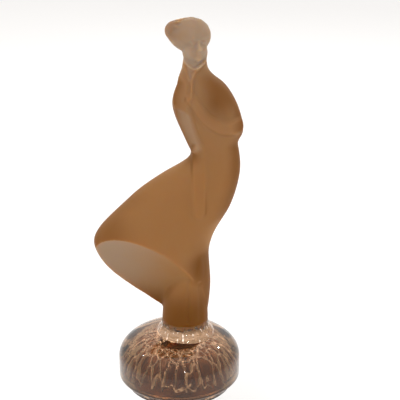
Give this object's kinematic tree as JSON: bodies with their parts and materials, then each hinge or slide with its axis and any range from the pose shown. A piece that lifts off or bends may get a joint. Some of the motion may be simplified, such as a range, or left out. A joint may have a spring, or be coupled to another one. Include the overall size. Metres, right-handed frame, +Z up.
{
  "type": "hood ornament",
  "caption": "Pressed-glass hood mascot: frosted figure in a wind-blown gown on a clear domed base, held by a cemented plate, stud, washers and wing nut.",
  "frame": {"origin": "centre of the hood's stud hole, level with the hood's outer face, where the underside of the foot gasket rests", "axes": "+Z up along the stud and the figure, -Y the way the figure faces, +X to the right of a viewer who faces it"},
  "size_m": [0.0775, 0.065, 0.2363],
  "materials": {
    "frosted_glass": "satin, acid-frosted peach glass",
    "clear_glass": "polished clear glass with a peach tint",
    "gasket_rubber": "matt brown rubber",
    "cement": "rough tan setting cement",
    "plate_brass": "dark, aged brass",
    "stud_steel": "zinc-plated steel",
    "cushion_rubber": "matt black rubber",
    "washer_steel": "zinc-plated steel",
    "spring_steel": "dark spring steel",
    "nut_brass": "cast brass"
  },
  "bodies": {
    "root": {"glass_figure": "frosted_glass", "glass_base": "clear_glass", "foot_gasket": "gasket_rubber", "plate_cement": "cement", "mounting_plate": "plate_brass", "threaded_stud": "stud_steel"},
    "washer_stack": {"cushion_washer": "cushion_rubber", "clamp_washer": "washer_steel", "spring_washer": "spring_steel"},
    "wing_nut": {"wing_nut": "nut_brass"}
  },
  "joints": [
    {"name": "stack_travel", "type": "slide", "parent": "root", "child": "washer_stack", "axis": [0, 0, -1], "range_m": [0, 0.0151]},
    {"name": "nut_spin", "type": "hinge", "parent": "washer_stack", "child": "wing_nut", "pos_m": [0, 0, -0.012], "axis": [0, 0, -1], "range_deg": [0, 4320]}
  ],
  "couplings": [
    {"joint": "stack_travel", "follows": "nut_spin", "m_per_rad": 0.00019894}
  ]
}
